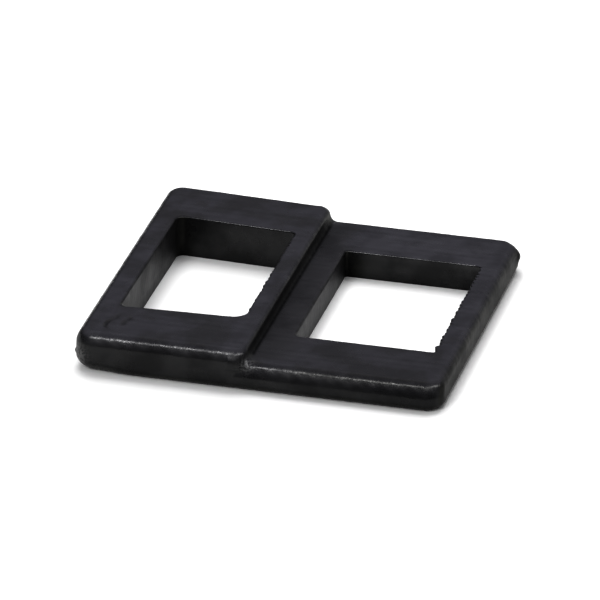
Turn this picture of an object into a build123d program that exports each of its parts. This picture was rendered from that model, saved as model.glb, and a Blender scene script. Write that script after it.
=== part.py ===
from build123d import *
import os

# Stepped two-window webbing slider for 25 mm webbing, millimetres.
# The origin is the centre of the flat underside, on the surface that it rests on.
# +X runs from the raised loop to the low loop, +Y from the front rail to the back rail, +Z up.

# Along X, from the raised end to the low end
RAISED_END_BAR_WIDTH = 3.5
RAISED_WINDOW_WIDTH = 15.8
RAISED_LEDGE_WIDTH = 2.5
LOW_LEDGE_WIDTH = 3.9
LOW_WINDOW_WIDTH = 17.7
LOW_END_BAR_WIDTH = 3.1

# Along Y
WEBBING_WIDTH = 25.0
WEBBING_CLEARANCE = 0.4
RAIL_WIDTH = 9.15

# Along Z
RAISED_HEIGHT = 5.5
LOW_HEIGHT = 3.7
PARTING_HEIGHT = 1.8

# Rounding and mould draft
TOP_EDGE_RADIUS = 1.2
FOOT_EDGE_RADIUS = 1.0
END_CORNER_RADIUS = 2.5
STEP_CORNER_RADIUS = 1.8
WINDOW_CORNER_RADIUS = 1.1
WINDOW_EDGE_RADIUS = 0.25
DRAFT_ANGLE = 2.0

# Sizes that follow
RAISED_LENGTH = RAISED_END_BAR_WIDTH + RAISED_WINDOW_WIDTH + RAISED_LEDGE_WIDTH
LOW_LENGTH = LOW_LEDGE_WIDTH + LOW_WINDOW_WIDTH + LOW_END_BAR_WIDTH
LENGTH = RAISED_LENGTH + LOW_LENGTH
WINDOW_SPAN = WEBBING_WIDTH + WEBBING_CLEARANCE
WIDTH = WINDOW_SPAN + 2 * RAIL_WIDTH

# Places along X
RAISED_END = -LENGTH / 2
LOW_END = LENGTH / 2
STEP = RAISED_END + RAISED_LENGTH
RAISED_WINDOW_START = RAISED_END + RAISED_END_BAR_WIDTH
RAISED_WINDOW_END = STEP - RAISED_LEDGE_WIDTH
LOW_WINDOW_START = STEP + LOW_LEDGE_WIDTH
LOW_WINDOW_END = LOW_END - LOW_END_BAR_WIDTH

# Places along Y. The bars are straight between the roots, where the window corners start to curve
FRONT = -WIDTH / 2
BACK = WIDTH / 2
FRONT_ROOT = -WINDOW_SPAN / 2 + WINDOW_CORNER_RADIUS
BACK_ROOT = WINDOW_SPAN / 2 - WINDOW_CORNER_RADIUS

# The low block reaches this far into the raised block, so that the two join
BLOCK_OVERLAP = 6.0
PARTING_PLANE = Plane.XY.offset(PARTING_HEIGHT)

os.makedirs("parts", exist_ok=True)


def middle(start, end):
    """The middle of a stretch."""
    return (start + end) / 2


# The raised block: a drafted slab with rounded plan corners, widest at the mould's parting plane
with BuildPart() as raised_block:
    with BuildSketch(PARTING_PLANE) as raised_outline:
        with Locations((middle(RAISED_END, STEP), 0)):
            Rectangle(RAISED_LENGTH, WIDTH)
        end_corners = raised_outline.vertices().group_by(Axis.X)[0]
        step_corners = raised_outline.vertices().group_by(Axis.X)[-1]
        fillet(end_corners, END_CORNER_RADIUS)
        fillet(step_corners, STEP_CORNER_RADIUS)
    extrude(amount=RAISED_HEIGHT - PARTING_HEIGHT, taper=DRAFT_ANGLE)
    extrude(raised_outline.sketch, amount=-PARTING_HEIGHT, taper=DRAFT_ANGLE)
    fillet(raised_block.faces().sort_by(Axis.Z)[-1].edges(), TOP_EDGE_RADIUS)
    fillet(raised_block.faces().sort_by(Axis.Z)[0].edges(), FOOT_EDGE_RADIUS)

# The low block, flush with the raised block at the front, the back and the underside
with BuildPart() as low_block:
    with BuildSketch(PARTING_PLANE) as low_outline:
        with Locations((middle(STEP - BLOCK_OVERLAP, LOW_END), 0)):
            Rectangle(LOW_END - STEP + BLOCK_OVERLAP, WIDTH)
        fillet(low_outline.vertices(), END_CORNER_RADIUS)
    extrude(amount=LOW_HEIGHT - PARTING_HEIGHT, taper=DRAFT_ANGLE)
    extrude(low_outline.sketch, amount=-PARTING_HEIGHT, taper=DRAFT_ANGLE)
    fillet(low_block.faces().sort_by(Axis.Z)[-1].edges(), TOP_EDGE_RADIUS)
    fillet(low_block.faces().sort_by(Axis.Z)[0].edges(), FOOT_EDGE_RADIUS)

# The whole moulding: both blocks with their two webbing windows, which open out both ways from
# the parting plane and have eased rims
with BuildPart() as moulding:
    add(raised_block.part)
    add(low_block.part)
    with BuildSketch(PARTING_PLANE) as windows:
        with Locations((middle(RAISED_WINDOW_START, RAISED_WINDOW_END), 0)):
            RectangleRounded(RAISED_WINDOW_WIDTH, WINDOW_SPAN, WINDOW_CORNER_RADIUS)
        with Locations((middle(LOW_WINDOW_START, LOW_WINDOW_END), 0)):
            RectangleRounded(LOW_WINDOW_WIDTH, WINDOW_SPAN, WINDOW_CORNER_RADIUS)
    extrude(amount=RAISED_HEIGHT, taper=-DRAFT_ANGLE, mode=Mode.SUBTRACT)
    extrude(windows.sketch, amount=-PARTING_HEIGHT, taper=-DRAFT_ANGLE, mode=Mode.SUBTRACT)
    flat_faces = moulding.faces().filter_by(Axis.Z)
    window_rims = [wire for face in flat_faces for wire in face.inner_wires()]
    fillet([edge for rim in window_rims for edge in rim.edges()], WINDOW_EDGE_RADIUS)


def member(label, x_span, y_span):
    """Writes one member of the moulding, cut at the planes where it meets its neighbours."""
    with BuildPart() as piece:
        add(moulding.part)
        with Locations((middle(*x_span), middle(*y_span), 0)):
            Box(x_span[1] - x_span[0], y_span[1] - y_span[0], 2 * RAISED_HEIGHT, mode=Mode.INTERSECT)
    piece.part.label = label
    export_step(piece.part, f"parts/{label}.step")


RAISED_LOOP = (RAISED_END, STEP)
LOW_LOOP = (STEP, LOW_END)
FRONT_RAIL = (FRONT, FRONT_ROOT)
BACK_RAIL = (BACK_ROOT, BACK)
BETWEEN_ROOTS = (FRONT_ROOT, BACK_ROOT)
RAISED_WINDOW_MIDDLE = middle(RAISED_WINDOW_START, RAISED_WINDOW_END)
LOW_WINDOW_MIDDLE = middle(LOW_WINDOW_START, LOW_WINDOW_END)

member("raised_front_rail", RAISED_LOOP, FRONT_RAIL)
member("raised_back_rail", RAISED_LOOP, BACK_RAIL)
member("low_front_rail", LOW_LOOP, FRONT_RAIL)
member("low_back_rail", LOW_LOOP, BACK_RAIL)
member("raised_end_bar", (RAISED_END, RAISED_WINDOW_MIDDLE), BETWEEN_ROOTS)
member("centre_bar", (RAISED_WINDOW_MIDDLE, LOW_WINDOW_MIDDLE), BETWEEN_ROOTS)
member("low_end_bar", (LOW_WINDOW_MIDDLE, LOW_END), BETWEEN_ROOTS)
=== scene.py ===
import itertools
import math

import bmesh
import bpy
import numpy as np
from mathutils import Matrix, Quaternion, Vector


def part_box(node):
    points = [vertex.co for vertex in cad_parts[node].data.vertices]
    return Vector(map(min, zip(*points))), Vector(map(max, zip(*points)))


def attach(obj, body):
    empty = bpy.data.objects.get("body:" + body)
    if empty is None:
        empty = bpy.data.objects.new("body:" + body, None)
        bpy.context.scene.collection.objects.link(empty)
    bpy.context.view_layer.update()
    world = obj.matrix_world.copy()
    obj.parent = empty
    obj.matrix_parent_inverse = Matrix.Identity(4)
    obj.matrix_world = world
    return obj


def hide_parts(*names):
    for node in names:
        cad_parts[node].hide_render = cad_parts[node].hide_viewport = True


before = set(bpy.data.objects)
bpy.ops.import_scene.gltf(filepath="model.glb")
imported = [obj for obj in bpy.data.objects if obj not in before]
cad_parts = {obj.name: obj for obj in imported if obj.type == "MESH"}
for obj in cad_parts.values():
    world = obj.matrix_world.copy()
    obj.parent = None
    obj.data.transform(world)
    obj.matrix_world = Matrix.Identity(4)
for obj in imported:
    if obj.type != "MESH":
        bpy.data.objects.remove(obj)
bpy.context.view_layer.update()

# The moulding is worked out in millimetres and written out in metres
MM = 0.001


def corner(node, end, axis):
    """One coordinate of a CAD node's box, in millimetres."""
    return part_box(node)[end][axis] / MM


LOW, HIGH, X, Y, Z = 0, 1, 0, 1, 2

# Sizes that the CAD model sets
RAISED_END = corner("raised_end_bar", LOW, X)
RAISED_WINDOW_START = corner("raised_end_bar", HIGH, X)
RAISED_WINDOW_END = corner("centre_bar", LOW, X)
STEP = corner("raised_front_rail", HIGH, X)
LOW_WINDOW_START = corner("centre_bar", HIGH, X)
LOW_WINDOW_END = corner("low_end_bar", LOW, X)
LOW_END = corner("low_end_bar", HIGH, X)
HALF_WIDTH = corner("raised_back_rail", HIGH, Y)
ROOT = corner("centre_bar", HIGH, Y)
RAISED_HEIGHT = corner("centre_bar", HIGH, Z)
LOW_HEIGHT = corner("low_end_bar", HIGH, Z)

# Rounding, draft and how far the low block reaches into the raised one, as in the CAD model
PARTING_HEIGHT = 1.8
END_CORNER_RADIUS = 2.5
STEP_CORNER_RADIUS = 1.8
WINDOW_CORNER_RADIUS = 1.1
WINDOW_EDGE_RADIUS = 0.25
DRAFT = math.tan(math.radians(2.0))
BLOCK_OVERLAP = 6.0
WINDOW_HALF = ROOT + WINDOW_CORNER_RADIUS
RAISED_WINDOW_MIDDLE = (RAISED_WINDOW_START + RAISED_WINDOW_END) / 2
LOW_WINDOW_MIDDLE = (LOW_WINDOW_START + LOW_WINDOW_END) / 2

# How this moulding differs from its drawing: the raised loop has warped a little and has a worn foot
FRONT_SINK = 0.33
BACK_LEFT_RISE = 0.16
BACK_FLARE = 0.85
END_BULGE = 0.2
WORN_FOOT = 0.8

# The fillets at the foot of the step: between the rails, and in the webs at the front and the back
STEP_FOOT_BLEND = 1.1
STEP_WEB_BLEND = 1.4
WEB_REACH = 1.6

# The windows stop short of their drawn front, back and left sides, and the raised one widens to the left
WINDOW_LEFT_INSET = 0.06
RAISED_WINDOW_FRONT_INSET, RAISED_WINDOW_BACK_INSET = 0.7, 0.15
RAISED_WINDOW_SPREAD = 0.75
LOW_WINDOW_FRONT_INSET, LOW_WINDOW_BACK_INSET = 0.35, 0.1

# The windows' corner radii: front left, front right, back left, back right
RAISED_WINDOW_CORNERS = (0.9, 1.9, 1.0, 0.6)
LOW_WINDOW_CORNERS = (0.9, 0.3, 0.3, 0.8)

# Flash left on the right-hand rims of both windows: a plain start at the front and then a row of teeth
BURR_DROP = 0.5
BURR_START = -10.4
BURR_TEETH = 60
burr_draws = np.random.default_rng(11)
tooth_places = np.cumsum(burr_draws.uniform(0.3, 0.7, BURR_TEETH)) + BURR_START
long_tooth = np.arange(BURR_TEETH) % 2
raised_teeth = 0.12 + long_tooth * 0.12 + burr_draws.uniform(0, 0.14, BURR_TEETH)
low_teeth = long_tooth * 0.24 + burr_draws.uniform(-0.1, 0.1, BURR_TEETH)
BURR_PLACES = np.concatenate([[-12.35, -10.7, -10.45], tooth_places])
RAISED_BURR = np.concatenate([[0.0, 0.1, 0.2], raised_teeth])
LOW_BURR = np.concatenate([[0.0, 0.42, 0.1], low_teeth])

# Nubs of flash on the ends: place along X, Y and Z, spread and height
NUBS = (
    (LOW_END, 19.7, 2.2, 0.6, 0.5),
    (RAISED_END - 0.2, -19.75, 1.95, 0.3, 0.3),
)

# Dents on the raised loop's front left: place along X and Y, spread along X and Y, bend and depth
DENTS = (
    (-20.1, -17.95, 0.28, 0.9, 0.35, 0.16),
    (-18.0, -17.2, 0.35, 0.7, 0, 0.09),
    (-19.2, -15.75, 0.25, 0.6, 0, 0.06),
    (-17.6, -15.9, 0.3, 0.5, 0, 0.07),
)
LONG_DENTS = DENTS[:2]

# Painted highlights and reflections, as grey patches on the raised loop's front left corner and at the webs
# on the two ends of the step: place and spread
PAINTED_GLINTS = (
    (RAISED_END + 0.6, -HALF_WIDTH + 0.8, 2.2, 1.2),
    (STEP + 0.1, -HALF_WIDTH + 0.7, LOW_HEIGHT - 0.4, 0.8),
    (STEP + 0.2, HALF_WIDTH - 0.8, LOW_HEIGHT, 1.1),
)

# The front and back top edges are not plain fillets: the wall leans in below them, above a faint crease
RAISED_LEAN_DROP = 1.75
LOW_LEAN_DROP = 1.95
LEAN = 0.25
LEAN_BEND = 0.12

# The outer edges' radii, and how the windows' rims differ from their plain edge radius
TOP_EDGE_RADIUS = 1.15
STEP_TOP_EDGE_RADIUS = 0.8
LOW_END_TOP_EDGE_RADIUS = 1.2
FOOT_EDGE_RADIUS = 1.15
UNDERSIDE_RIM_RADIUS = 0.05
LEFT_RIM_EXTRA_RADIUS = 0.12

# The lower mould half is a little wider than the upper one
LEDGE_HEIGHT = 1.75
LEDGE = 0.035
CREASE_EASE = 0.05

# The raised and low rails meet in a cut just past the step's riser
RAIL_CUT = STEP + 0.5

# Ten faint waves all over the surface, with lengths from 0.9 to 9 mm
RIPPLE_HEIGHT = 0.0035
RIPPLE_COUNT = 10
ripple_draws = np.random.default_rng(7)
ripple_directions = ripple_draws.normal(size=(RIPPLE_COUNT, 3))
ripple_shifts = ripple_draws.uniform(0, 2 * math.pi, RIPPLE_COUNT)
ripple_lengths = np.geomspace(0.9, 9, RIPPLE_COUNT)
RIPPLE_WAVES = [
    (*(direction / np.linalg.norm(direction) * 2 * math.pi / length), shift)
    for direction, length, shift in zip(ripple_directions, ripple_lengths, ripple_shifts)
]

# Painted shade, as gloss taken away from 0 to 1: on the step's riser and ledge, in the windows' back left
# nooks, on the low end and under the front foot
STEP_RISER_SHADE = 0.5
LEDGE_SHADE = 0.52
NOOK_SHADE = 0.75
LOW_END_SHADE = 0.58
UNDERFOOT_SHADE = 0.55

# The net's cells, which are fine within reach of a wall or a level and grow with the gap beyond it
FINE_CELL = 0.1
COARSE_CELL = 0.4
CELL_GROWTH = 0.25
WALL_REACH = 0.8
LEVEL_REACH = 0.5

# The small step that measures how the distance to the surface changes
PROBE = 0.004


def smooth(value, start, end):
    """0 before start, 1 after end, and a smooth rise between."""
    t = np.clip((value - start) / (end - start), 0, 1)
    return t * t * (3 - 2 * t)


def rounded_rectangle(x, y, x_low, x_high, y_low, y_high, radius):
    """Distance outside a rounded rectangle, negative inside it."""
    across = np.abs(x - (x_low + x_high) / 2) - (x_high - x_low) / 2 + radius
    along = np.abs(y - (y_low + y_high) / 2) - (y_high - y_low) / 2 + radius
    outside = np.hypot(np.maximum(across, 0), np.maximum(along, 0))
    return outside + np.minimum(np.maximum(across, along), 0) - radius


def rounded_corner(a, b, radius):
    """Distance outside the space that is inside both a and b, with the edge between them rounded."""
    outside = np.hypot(np.maximum(a + radius, 0), np.maximum(b + radius, 0))
    return outside + np.minimum(np.maximum(a, b) + radius, 0) - radius


def rounded_ridge(a, b, angle, radius):
    """Like rounded_corner, for two faces whose normals are that angle apart."""
    a, b = a + radius, b + radius
    c = np.cos(angle)
    arc = np.sqrt(np.maximum(a * a + b * b - 2 * a * b * c, 0)) / np.sin(angle)
    return np.where((a > b * c) & (b > a * c), arc, np.maximum(a, b)) - radius


def blended(a, b, size):
    """Distance outside either a or b, with the crease between them filled by a fillet of that size."""
    overlap = np.maximum(size - np.abs(a - b), 0) / np.maximum(size, PROBE)
    return np.minimum(a, b) - overlap * overlap * size / 4


def block(plan, z, top, lean_drop, endness, end_radius, foot_radius):
    """Distance outside a drafted slab on that plan. Its wall leans in below its top except at an end."""
    wall = plan + np.abs(z - PARTING_HEIGHT) * DRAFT - LEDGE * smooth(LEDGE_HEIGHT - z, 0, 0.3)
    rise = np.maximum(z - top + lean_drop, 0)
    recess = (1 - endness) * (LEAN * rise + LEAN_BEND * rise * rise) + endness * DRAFT * rise
    lean = np.arctan((1 - endness) * (LEAN + 2 * LEAN_BEND * rise) + endness * DRAFT)
    leaning_wall = (plan + recess) * np.cos(lean)
    radius = TOP_EDGE_RADIUS + (end_radius - TOP_EDGE_RADIUS) * endness
    upper = rounded_ridge(leaning_wall, z - top, math.pi / 2 - lean, radius)
    return rounded_corner(upper, rounded_corner(wall, -z, foot_radius), CREASE_EASE)


def turned(x, y, end, radius, start, finish):
    """How far a block's outline has turned, between two angles, from its front or back towards its end."""
    across = np.maximum(x - end + radius, 0)
    along = np.maximum(np.abs(y) - HALF_WIDTH + radius, 0) + PROBE
    return smooth(np.degrees(np.arctan2(across, along)), start, finish)


def raised_block(x, y, z):
    """Distance outside the raised loop's slab, which has warped and has a worn foot at its front left."""
    leftness = np.clip((STEP - x) / (STEP - RAISED_END), 0, 1)
    backness = np.clip(y / HALF_WIDTH, -1, 1) / 2 + 0.5
    radius = np.where(x < (RAISED_END + STEP) / 2, END_CORNER_RADIUS, STEP_CORNER_RADIUS)
    back_edge = HALF_WIDTH + BACK_FLARE * leftness
    plan = rounded_rectangle(x, y, RAISED_END - END_BULGE, STEP, -HALF_WIDTH, back_edge, radius)
    top = RAISED_HEIGHT - FRONT_SINK * (1 - backness) + BACK_LEFT_RISE * leftness * backness
    endness = turned(x, y, STEP, 2.8, 15, 75)
    corner_gap = HALF_WIDTH - RAISED_END + x + y
    foot_radius = FOOT_EDGE_RADIUS + WORN_FOOT * (1 - smooth(corner_gap, 2, 8))
    return block(plan, z, top, RAISED_LEAN_DROP, endness, STEP_TOP_EDGE_RADIUS, foot_radius)


def low_block(x, y, z):
    """Distance outside the low loop's slab, which reaches into the raised one."""
    start = STEP - BLOCK_OVERLAP
    plan = rounded_rectangle(x, y, start, LOW_END, -HALF_WIDTH, HALF_WIDTH, END_CORNER_RADIUS)
    endness = turned(x, y, LOW_END, 3.0, 45, 85)
    return block(plan, z, LOW_HEIGHT, LOW_LEAN_DROP, endness, LOW_END_TOP_EDGE_RADIUS, FOOT_EDGE_RADIUS)


def corner_radii(x, y, middle, radii):
    """The corner radius of a window in the quarter that each point is in."""
    front = np.where(x < middle, radii[0], radii[1])
    return np.where(y < 0, front, np.where(x < middle, radii[2], radii[3]))


def burr(y, z, top, teeth):
    """How far a window's flash reaches in from its right-hand rim, just below the top."""
    return smooth(z, top - 2 * BURR_DROP, top - BURR_DROP) * np.interp(y, BURR_PLACES, teeth)


def windows(x, y, z):
    """Distance outside the two windows, which open out both ways from the parting plane."""
    leftness = np.clip((RAISED_WINDOW_END - x) / (RAISED_WINDOW_END - RAISED_WINDOW_START), 0, 1)
    spread = RAISED_WINDOW_SPREAD * leftness
    raised = rounded_rectangle(
        x,
        y,
        RAISED_WINDOW_START + WINDOW_LEFT_INSET,
        RAISED_WINDOW_END - burr(y, z, RAISED_HEIGHT - FRONT_SINK / 2, RAISED_BURR),
        -WINDOW_HALF + RAISED_WINDOW_FRONT_INSET - spread,
        WINDOW_HALF - RAISED_WINDOW_BACK_INSET + spread,
        corner_radii(x, y, RAISED_WINDOW_MIDDLE, RAISED_WINDOW_CORNERS),
    )
    low = rounded_rectangle(
        x,
        y,
        LOW_WINDOW_START + WINDOW_LEFT_INSET,
        LOW_WINDOW_END - burr(y, z, LOW_HEIGHT, LOW_BURR),
        -WINDOW_HALF + LOW_WINDOW_FRONT_INSET,
        WINDOW_HALF - LOW_WINDOW_BACK_INSET,
        corner_radii(x, y, LOW_WINDOW_MIDDLE, LOW_WINDOW_CORNERS),
    )
    return np.minimum(raised, low) - np.abs(z - PARTING_HEIGHT) * DRAFT


def dents(x, y, z):
    """How deep the dents in the raised loop's top are at each point."""
    depth = 0
    for place_x, place_y, spread_x, spread_y, bend, deepest in DENTS:
        along = (y - place_y) / spread_y
        across = (x - place_x - bend * (y - place_y) ** 2) / spread_x
        depth = depth + deepest * np.exp(-(across**2) - along**2)
    return depth * smooth(z, LOW_HEIGHT, LOW_HEIGHT + 0.8)


def nubs(x, y, z):
    """How far the nubs of flash stand out at each point."""
    height = 0
    for place_x, place_y, place_z, spread, highest in NUBS:
        square = (x - place_x) ** 2 + (y - place_y) ** 2 + (z - place_z) ** 2
        height = height + highest * np.exp(-square / spread**2)
    return height


def ripples(x, y, z):
    """A faint unevenness all over the moulding, apart from its flat underside."""
    waves = sum(np.sin(a * x + b * y + c * z + shift) for a, b, c, shift in RIPPLE_WAVES)
    return RIPPLE_HEIGHT * waves * smooth(z, 0.15, 0.9)


def step_web(y):
    """1 at the front and the back, where the step's foot has a web, and 0 between the rails."""
    return smooth(np.abs(y), HALF_WIDTH - 3.4, HALF_WIDTH - 1.2)


def moulding(x, y, z):
    """Distance outside the whole slider, negative inside it, in millimetres."""
    web = step_web(y)
    foot = smooth(x + WEB_REACH * web, STEP - 1.4, STEP - 0.4)
    foot = foot * smooth(z, LOW_HEIGHT - 1.3, LOW_HEIGHT - 0.7)
    size = (STEP_FOOT_BLEND + (STEP_WEB_BLEND - STEP_FOOT_BLEND) * web) * foot
    body = blended(raised_block(x, y, z), low_block(x, y, z), size)
    left_gap = np.minimum(np.abs(x - RAISED_WINDOW_START), np.abs(x - LOW_WINDOW_START))
    top_rim_radius = WINDOW_EDGE_RADIUS + LEFT_RIM_EXTRA_RADIUS * (1 - smooth(left_gap, 0.3, 2))
    rim_radius = UNDERSIDE_RIM_RADIUS + (top_rim_radius - UNDERSIDE_RIM_RADIUS) * smooth(z, 0.5, 2)
    marred = ripples(x, y, z) + dents(x, y, z) - nubs(x, y, z)
    return rounded_corner(body, -windows(x, y, z), rim_radius) + marred


def grid_lines(low, high, marks, cuts, reach, coarse):
    """Grid positions from low to high, close together near the marks, with each cut midway between two."""
    ends = [low, *(cut + side * FINE_CELL / 2 for cut in cuts for side in (-1, 1)), high]
    stretches = []
    for start, end in zip(ends[::2], ends[1::2]):
        place = np.arange(start, end + PROBE, (end - start) / 2000)
        gap = np.abs(place[:, None] - np.array(marks)).min(axis=1)
        size = np.clip(FINE_CELL + (gap - reach) * CELL_GROWTH, FINE_CELL, coarse)
        count = np.concatenate([[0], np.cumsum(np.diff(place) / size[1:])])
        cells = math.ceil(count[-1])
        stretches.append(np.interp(np.linspace(0, count[-1], cells + 1), count, place))
    return np.concatenate(stretches)


def slope(points):
    """How the distance to the moulding changes along X, Y and Z at each point."""
    rises = [moulding(*(points + step).T) - moulding(*(points - step).T) for step in PROBE * np.eye(3)]
    return np.stack(rises, axis=1) / (2 * PROBE)


def net_points(lines, crossed):
    """One point in each crossed cell, moved onto the moulding's surface. Points on a cut stay in it."""
    middles = [(line[1:] + line[:-1]) / 2 for line in lines]
    points = np.stack([middles[axis][crossed[:, axis]] for axis in (X, Y, Z)], axis=1)
    free = np.ones_like(points)
    free[:, X] = np.abs(points[:, X] - RAIL_CUT) > PROBE
    free[:, Y] = np.abs(np.abs(points[:, Y]) - ROOT) > PROBE
    for _ in range(5):
        direction = slope(points) * free
        steepness = np.maximum((direction**2).sum(axis=1), 0.1)
        move = direction * (moulding(*points.T) / steepness)[:, None]
        points -= np.clip(move, -FINE_CELL, FINE_CELL)
    return points


def net_faces(inside, number):
    """A quad across each grid edge that leaves the moulding, facing outwards."""
    faces = []
    for axis in range(3):
        u, v = (axis + 1) % 3, (axis + 2) % 3
        near = inside.take(range(inside.shape[axis] - 1), axis)
        far = inside.take(range(1, inside.shape[axis]), axis)
        for crossing, order in ((near & ~far, 1), (far & ~near, -1)):
            at = np.argwhere(crossing)
            around = []
            for du, dv in ((1, 1), (0, 1), (0, 0), (1, 0)):
                cell = at.copy()
                cell[:, u] -= du
                cell[:, v] -= dv
                around.append(number[tuple(cell.T)])
            faces.append(np.stack(around, axis=1)[:, ::order])
    return np.concatenate(faces)


def moulding_net():
    """The whole moulding's surface: points in millimetres, quads and outward normals."""
    walls_x = [RAISED_END, RAISED_WINDOW_START, RAISED_WINDOW_END, STEP]
    walls_x += [LOW_WINDOW_START, LOW_WINDOW_END, LOW_END]
    walls_y = [-HALF_WIDTH, -WINDOW_HALF, WINDOW_HALF, HALF_WIDTH]
    marks_x = walls_x + [dent[X] for dent in LONG_DENTS]
    marks_y = walls_y + [dent[Y] for dent in LONG_DENTS]
    marks_z = [0, PARTING_HEIGHT, LOW_HEIGHT, RAISED_HEIGHT]
    front, back = -HALF_WIDTH - 0.8, HALF_WIDTH + 1.2
    xs = grid_lines(RAISED_END - 0.5, LOW_END + 0.5, marks_x, [RAIL_CUT], WALL_REACH, COARSE_CELL)
    ys = grid_lines(front, back, marks_y, [-ROOT, ROOT], WALL_REACH, COARSE_CELL / 2)
    zs = grid_lines(-0.4, RAISED_HEIGHT + 0.5, marks_z, [], LEVEL_REACH, COARSE_CELL)
    x, y = np.meshgrid(xs, ys, indexing="ij")
    inside = np.stack([moulding(x, y, np.full_like(x, z)) < 0 for z in zs], axis=2)
    shape = np.array(inside.shape) - 1
    corners = [
        inside[i:i + shape[X], j:j + shape[Y], k:k + shape[Z]]
        for i, j, k in itertools.product((0, 1), repeat=3)
    ]
    some, every = np.any(corners, axis=0), np.all(corners, axis=0)
    crossed = np.argwhere(some & ~every)
    number = np.full(shape, -1)
    number[tuple(crossed.T)] = np.arange(len(crossed))
    points = net_points((xs, ys, zs), crossed)
    normals = slope(points)
    normals /= np.linalg.norm(normals, axis=1)[:, None]
    return points, net_faces(inside, number), normals


def member_of(centres):
    """The name of the member that each point of the moulding belongs to."""
    x, y = centres[:, X], centres[:, Y]
    rail = np.where(x < RAIL_CUT, "raised", "low")
    side = np.where(y < 0, "_front_rail", "_back_rail")
    right_bar = np.where(x < LOW_WINDOW_MIDDLE, "centre_bar", "low_end_bar")
    bar = np.where(x < RAISED_WINDOW_MIDDLE, "raised_end_bar", right_bar)
    return np.where(np.abs(y) < ROOT, bar, np.char.add(rail, side))


def close_cuts(mesh):
    """Fills the open ends that a member has where it meets its neighbours."""
    planes = ((X, RAIL_CUT), (Y, -ROOT), (Y, ROOT))
    on = {}
    for axis, place in planes:
        on[axis, place] = {v for v in mesh.verts if abs(v.co[axis] / MM - place) < PROBE}
    open_edges = [edge for edge in mesh.edges if edge.is_boundary]
    rims = {plane: [e for e in open_edges if set(e.verts) <= on[plane]] for plane in planes}
    for side in planes[1:]:
        ends = {v for e in rims[planes[0]] for v in e.verts} & on[side]
        if len(ends) == 2:
            corner_edge = mesh.edges.new(tuple(ends))
            rims[planes[0]].append(corner_edge)
            rims[side].append(corner_edge)
    caps = []
    for plane in planes:
        if rims[plane]:
            caps += bmesh.ops.edgeloop_fill(mesh, edges=rims[plane])["faces"]
    return caps


def painted_step_shade(x, y, z):
    """Painted shade on the step's riser and the ledge below it, as gloss taken away."""
    riser = smooth(x, STEP - 1.0, STEP - 0.4) * (1 - smooth(x, STEP + 0.3, STEP + 0.8))
    riser = riser * (1 - smooth(z, LOW_HEIGHT + 0.7, LOW_HEIGHT + 1.5))
    ledge = smooth(x, STEP - 0.5, STEP + 0.5) * (1 - smooth(x, STEP + 0.5, STEP + 7))
    above_walls = smooth(z, LOW_HEIGHT - 0.3, LOW_HEIGHT)
    return (STEP_RISER_SHADE * riser + LEDGE_SHADE * ledge) * above_walls * (1 - step_web(y))


def painted_nook_shade(x, y, z):
    """Painted shade in the windows' back left corners, below the rims, as gloss taken away."""
    shade_and_sheen = 0
    for nook_x, nook_y, top in (
        (RAISED_WINDOW_START, WINDOW_HALF + 0.6, RAISED_HEIGHT),
        (LOW_WINDOW_START, WINDOW_HALF, LOW_HEIGHT),
    ):
        near = np.exp(-(((x - nook_x) / 1.6) ** 2) - ((y - nook_y) / 1.2) ** 2)
        shade_and_sheen = np.maximum(shade_and_sheen, near * (1 - smooth(z, top - 0.3, top - 0.05)))
    return NOOK_SHADE * shade_and_sheen


def painted_low_top_sheen(x, y, z):
    """Painted sheen on the low loop's top, as extra gloss, most of all towards the back; at the front it
    takes a little gloss away.
    """
    back_rail = smooth(y, 9, 14)
    past_ledge = smooth(x, STEP + 3 - 2 * back_rail, STEP + 8 - 3 * back_rail)
    return past_ledge * smooth(z, LOW_HEIGHT - 1.2, LOW_HEIGHT - 0.4) * (0.44 * smooth(y, -18, 4) - 0.08)


def painted_raised_top_sheen(x, y, z):
    """Painted sheen on top of the raised loop's bars, as extra gloss, most of all towards the front."""
    right_bar = smooth(x, STEP - 3.5, STEP - 2.5) * (1 - smooth(x, STEP - 0.4, STEP)) * smooth(-y, -10, 10)
    left_bar = (1 - smooth(x, RAISED_WINDOW_START - 0.5, RAISED_WINDOW_START)) * smooth(-y, -12, 2)
    return 0.24 * (right_bar + 0.8 * left_bar) * smooth(z, LOW_HEIGHT + 1, RAISED_HEIGHT - 0.5)


def painted_shade_and_sheen(points):
    """Gloss taken away at each point: painted shade at the step, the nooks, the low end and under the front
    foot, and the dents made duller too; below 0 where painted sheen adds gloss.
    """
    x, y, z = points.T
    # Painted shade on the low end's outer edge and wall, and under the front foot
    low_end = smooth(x, LOW_END - 0.7, LOW_END - 0.15)
    underfoot = (1 - smooth(z, 0.3, 1.0)) * (1 - smooth(y, 1.0 - HALF_WIDTH, 1.6 - HALF_WIDTH))
    # Painted shade at the step and in the nooks; the dents are made duller as well
    shade_and_sheen = painted_step_shade(x, y, z) + painted_nook_shade(x, y, z) + dents(x, y, z) / 0.2
    shade_and_sheen = shade_and_sheen + LOW_END_SHADE * low_end + UNDERFOOT_SHADE * underfoot
    return np.clip(shade_and_sheen - painted_low_top_sheen(x, y, z) - painted_raised_top_sheen(x, y, z), -0.5, 1)


def painted_glints(points):
    """How strong the painted highlights and reflections are at each point."""
    squares = [(((points - scuff[:3]) / scuff[3]) ** 2).sum(axis=1) for scuff in PAINTED_GLINTS]
    return np.exp(-np.array(squares)).sum(axis=0)


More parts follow.
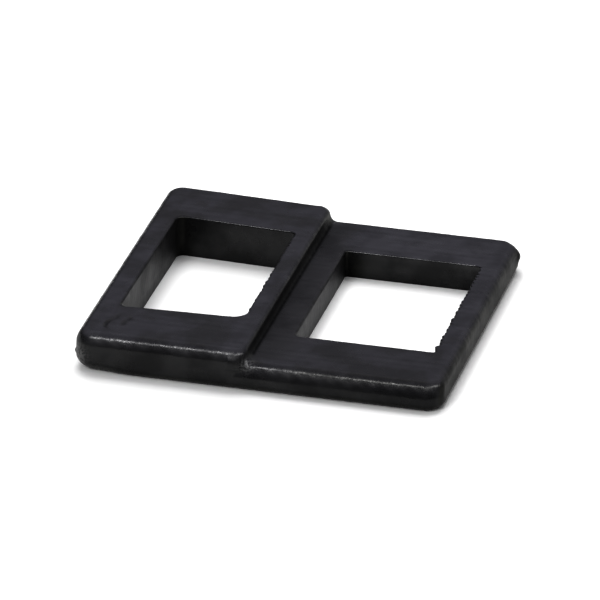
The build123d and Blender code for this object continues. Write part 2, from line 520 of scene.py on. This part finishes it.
def member_piece(name, points, faces, normals, marks):
    """One member's closed mesh, with the moulding's own normals on its skin."""
    used, faces = np.unique(faces, return_inverse=True)
    faces = faces.reshape(-1, 4)
    mesh = bpy.data.meshes.new(name)
    mesh.from_pydata((points[used] * MM).tolist(), [], faces.tolist())
    work = bmesh.new()
    work.from_mesh(mesh)
    caps = close_cuts(work)
    for face in work.faces:
        face.smooth = True
    for face in caps:
        face.smooth = False
    bmesh.ops.recalc_face_normals(work, faces=work.faces[:])
    work.to_mesh(mesh)
    work.free()
    skin = normals[used]
    loop_normals = []
    for face in mesh.polygons:
        for index in face.vertices:
            loop_normals.append(tuple(skin[index]) if face.use_smooth else tuple(face.normal))
    mesh.normals_split_custom_set(loop_normals)
    for mark, values in marks.items():
        mesh.attributes.new(mark, "FLOAT", "POINT").data.foreach_set("value", values[used])
    piece = bpy.data.objects.new(name + "_moulded", mesh)
    bpy.context.scene.collection.objects.link(piece)
    return piece


# Node trees


class Graph:
    """The node tree of a material or a world, built up by its outputs."""

    def __init__(self, owner, shader):
        owner.use_nodes = True
        self.nodes, self.links = owner.node_tree.nodes, owner.node_tree.links
        self.shader = self.nodes[shader]

    def coordinates(self, kind):
        return self.nodes.new("ShaderNodeTexCoord").outputs[kind]

    def split(self, vector):
        """A vector's X, Y and Z."""
        node = self.nodes.new("ShaderNodeSeparateXYZ")
        self.links.new(vector, node.inputs["Vector"])
        return node.outputs["X"], node.outputs["Y"], node.outputs["Z"]

    def noise(self, feature, detail, scale=(1, 1, 1)):
        """Noise with features of that many millimetres, divided along each axis by the scale."""
        mapping = self.nodes.new("ShaderNodeMapping")
        mapping.inputs["Scale"].default_value = scale
        self.links.new(self.coordinates("Object"), mapping.inputs["Vector"])
        node = self.nodes.new("ShaderNodeTexNoise")
        node.inputs["Scale"].default_value = 1 / (feature * MM)
        node.inputs["Detail"].default_value = detail
        self.links.new(mapping.outputs["Vector"], node.inputs["Vector"])
        return node.outputs["Fac"]

    def mark(self, name):
        """A value that the mesh holds at each of its points."""
        node = self.nodes.new("ShaderNodeAttribute")
        node.attribute_name = name
        return node.outputs["Fac"]

    def ranged(self, value, start, end, low, high):
        """Low up to start, high from end on, and a smooth change between."""
        node = self.nodes.new("ShaderNodeMapRange")
        node.interpolation_type = "SMOOTHSTEP"
        for name, number in (("From Min", start), ("From Max", end), ("To Min", low), ("To Max", high)):
            node.inputs[name].default_value = number
        self.links.new(value, node.inputs["Value"])
        return node.outputs["Result"]

    def maths(self, operation, *values):
        node = self.nodes.new("ShaderNodeMath")
        node.operation = operation
        for socket, value in zip(node.inputs, values):
            if isinstance(value, (int, float)):
                socket.default_value = value
            else:
                self.links.new(value, socket)
        return node.outputs["Value"]

    def plus(self, a, b):
        return self.maths("ADD", a, b)

    def times(self, a, b):
        return self.maths("MULTIPLY", a, b)

    def mixed(self, factor, a, b):
        """A colour between a and b, each a fixed colour or another output."""
        node = self.nodes.new("ShaderNodeMix")
        node.data_type = "RGBA"
        self.links.new(factor, node.inputs["Factor"])
        for name, colour in (("A", a), ("B", b)):
            if isinstance(colour, tuple):
                node.inputs[name].default_value = (*colour, 1)
            else:
                self.links.new(colour, node.inputs[name])
        return node.outputs["Result"]

    def feed(self, name, value):
        self.links.new(value, self.shader.inputs[name])


def black_plastic():
    """Satin black moulded plastic with less gloss on the walls and worn edges; painted shade as lost gloss
    at the step, the windows' nooks, the low end and under the foot, painted sheen as extra gloss on parts
    of the tops, and painted highlights as grey patches at a corner and the step's webs.
    """
    material = bpy.data.materials.new("black_plastic_moulded")
    graph = Graph(material, "Principled BSDF")

    # Where each kind of surface is
    facing_x, facing_y, facing_z = graph.split(graph.nodes.new("ShaderNodeNewGeometry").outputs["Normal"])
    upness = graph.maths("ABSOLUTE", facing_z)
    wall = graph.ranged(upness, 0.1, 0.6, 1, 0)
    top = graph.ranged(upness, 0.8, 1, 0, 1)
    end_wall = graph.ranged(graph.maths("ABSOLUTE", facing_x), 0.55, 0.95, 0, 1)
    above_wall = graph.ranged(upness, 0.35, 0.6, 0, 1)
    edge = graph.times(above_wall, graph.ranged(upness, 0.85, 0.97, 1, 0))
    front_edge = graph.times(edge, graph.ranged(facing_y, -0.6, -0.3, 1, 0))
    # Painted shade and sheen, and painted highlights, held at the mesh's points
    shade_and_sheen = graph.mark("shade_and_sheen")
    painted_glint = graph.mark("painted_glint")

    # Unevenness of several sizes
    clouds = graph.noise(5.0, 3)
    blotches = graph.noise(4.0, 3)
    grain = graph.noise(0.32, 3)
    scuffs = graph.noise(0.7, 4, (0.35, 1, 1))
    draw_lines = graph.noise(0.3, 2, (1, 1, 0.06))

    # Black, greyer where the edges are worn, with grey patches as painted highlights and reflections at the
    # front left corner and the step's webs
    edge_wear = graph.times(edge, graph.ranged(scuffs, 0.5, 0.65, 0, 0.07))
    glint_grey = graph.times(painted_glint, graph.ranged(grain, 0.42, 0.56, 0.1, 1))
    wear_and_glints = graph.maths("MAXIMUM", edge_wear, glint_grey)
    graph.feed("Base Color", graph.mixed(wear_and_glints, (0.007, 0.007, 0.0075), (0.1, 0.1, 0.1)))

    # Rougher on the end walls, with a sparkle along the front edges
    roughness = graph.ranged(blotches, 0.35, 0.65, 0.25, 0.33)
    roughness = graph.plus(roughness, graph.times(end_wall, 0.18))
    sparkle = graph.times(front_edge, graph.ranged(grain, 0.4, 0.6, -0.09, 0.04))
    graph.feed("Roughness", graph.plus(roughness, sparkle))

    # Cloudy gloss, which the walls have less of and the end walls more; painted shade takes gloss away and
    # painted sheen adds it
    gloss = graph.ranged(clouds, 0.38, 0.62, 0.28, 0.48)
    gloss = graph.times(gloss, graph.ranged(wall, 0, 1, 1, 0.86))
    gloss = graph.times(gloss, graph.ranged(end_wall, 0, 1, 1, 1.5))
    gloss = graph.times(gloss, graph.maths("SUBTRACT", 1, shade_and_sheen))
    graph.feed("Specular IOR Level", gloss)
    # Reflections turn yellower on the tops where the clouds are thin and where painted shade takes gloss
    # away
    yellowness = graph.times(top, graph.ranged(clouds, 0.4, 0.55, 1, 0))
    yellowness = graph.plus(yellowness, graph.times(shade_and_sheen, 3))
    graph.feed("Specular Tint", graph.mixed(yellowness, (1, 1, 1), (1, 1, 0.85)))

    # Fine grain, coarser on the front edges, and upright lines on the end walls from the mould
    fine = graph.times(grain, graph.ranged(front_edge, 0, 1, 0.22, 0.6))
    lines = graph.times(draw_lines, graph.times(end_wall, 0.5))
    bump = graph.nodes.new("ShaderNodeBump")
    bump.inputs["Strength"].default_value = 1.0
    bump.inputs["Distance"].default_value = 0.03 * MM
    graph.links.new(graph.plus(fine, lines), bump.inputs["Height"])
    graph.feed("Normal", bump.outputs["Normal"])
    return material


def white_table():
    """A matt white surface."""
    material = bpy.data.materials.new("white_table")
    material.use_nodes = True
    shader = material.node_tree.nodes["Principled BSDF"]
    shader.inputs["Base Color"].default_value = (0.9, 0.9, 0.9, 1)
    shader.inputs["Roughness"].default_value = 1.0
    shader.inputs["Specular IOR Level"].default_value = 0.0
    return material


def studio():
    """The room: pale overhead and darker towards the horizon in reflections, and an even grey as light."""
    world = bpy.data.worlds.new("studio")
    graph = Graph(world, "Background")
    height = graph.split(graph.coordinates("Generated"))[Z]
    room = graph.mixed(graph.ranged(height, 0.06, 0.85, 0, 1), (0.06, 0.06, 0.07), (1.38, 1.35, 1.58))
    reflected = graph.nodes.new("ShaderNodeLightPath").outputs["Is Glossy Ray"]
    graph.feed("Color", graph.mixed(reflected, (0.56, 0.56, 0.56), room))
    return world


# The moulding's members

plastic = black_plastic()
points, faces, normals = moulding_net()
# Painted shade and sheen as a gloss mark, and painted highlights and reflections as a grey-patch mark
marks = {"shade_and_sheen": painted_shade_and_sheen(points), "painted_glint": painted_glints(points)}
names = member_of(points[faces].mean(axis=1))
for node in sorted(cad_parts):
    piece = member_piece(node, points, faces[names == node], normals, marks)
    piece.data.materials.append(plastic)
    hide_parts(node)
    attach(piece, "root")

# Stage

FLOOR_REACH = 1.5
floor_corners = [(x * FLOOR_REACH, y * FLOOR_REACH, 0) for x, y in ((-1, -1), (1, -1), (1, 1), (-1, 1))]
floor_mesh = bpy.data.meshes.new("table")
floor_mesh.from_pydata(floor_corners, [], [(0, 1, 2, 3)])
floor = bpy.data.objects.new("table", floor_mesh)
floor.data.materials.append(white_table())
bpy.context.scene.collection.objects.link(floor)

# Camera and light


def towards(azimuth, elevation):
    """A direction, in degrees. Azimuth 0 is in front of the slider and 90 to its right."""
    azimuth, elevation = math.radians(azimuth), math.radians(elevation)
    level = math.cos(elevation)
    return Vector((math.sin(azimuth) * level, -math.cos(azimuth) * level, math.sin(elevation)))


# Where the photograph was taken from: degrees, millimetres for the lens and sensor, metres for the rest
AZIMUTH, ELEVATION, ROLL = 14.75, 26.2, 0.1
DISTANCE = 0.8125
LENS, SENSOR = 390.0, 36.0
TARGET = Vector((-0.000115, 0.00007, 0))
AIM_UP, AIM_RIGHT = 0.00209, -0.00006

back = towards(AZIMUTH, ELEVATION)
right = towards(AZIMUTH + 90, 0)
up = back.cross(right)
camera_data = bpy.data.cameras.new("camera")
camera_data.lens, camera_data.sensor_width = LENS, SENSOR
camera_data.dof.use_dof = False
camera = bpy.data.objects.new("camera", camera_data)
camera.location = TARGET + back * DISTANCE
gaze = TARGET + up * AIM_UP + right * AIM_RIGHT - camera.location
camera.rotation_mode = "QUATERNION"
camera.rotation_quaternion = gaze.to_track_quat("-Z", "Y") @ Quaternion((0, 0, 1), math.radians(ROLL))
bpy.context.scene.collection.objects.link(camera)
bpy.context.scene.camera = camera

LAMP_DISTANCE = 1.2


def softbox(name, azimuth, elevation, width, height, power, reflected, lighting):
    """A rectangular lamp that faces the slider, and shows in reflections, lights matt surfaces, or both."""
    data = bpy.data.lights.new(name, "AREA")
    data.shape, data.size, data.size_y = "RECTANGLE", width, height
    data.energy = power
    lamp = bpy.data.objects.new(name, data)
    direction = towards(azimuth, elevation)
    lamp.location = direction * LAMP_DISTANCE
    lamp.rotation_mode = "QUATERNION"
    lamp.rotation_quaternion = direction.to_track_quat("Z", "Y")
    lamp.visible_glossy, lamp.visible_diffuse = reflected, lighting
    bpy.context.scene.collection.objects.link(lamp)


# The side and backdrop lamps only show in reflections, and the overhead lamp never does
softbox("key", -20, 41, width=0.4, height=0.22, power=5.1, reflected=True, lighting=True)
softbox("side", 40, 41, width=1.6, height=0.3, power=11.8, reflected=True, lighting=False)
softbox("backdrop", 155, 10, width=1.4, height=0.42, power=1.0, reflected=True, lighting=False)
softbox("overhead", 192, 60, width=0.9, height=0.9, power=14, reflected=False, lighting=True)
bpy.context.scene.world = studio()

# Clipped whites and deep blacks, as in the photograph
bpy.context.scene.view_settings.gamma = 0.73
bpy.context.scene.view_settings.view_transform = "Standard"
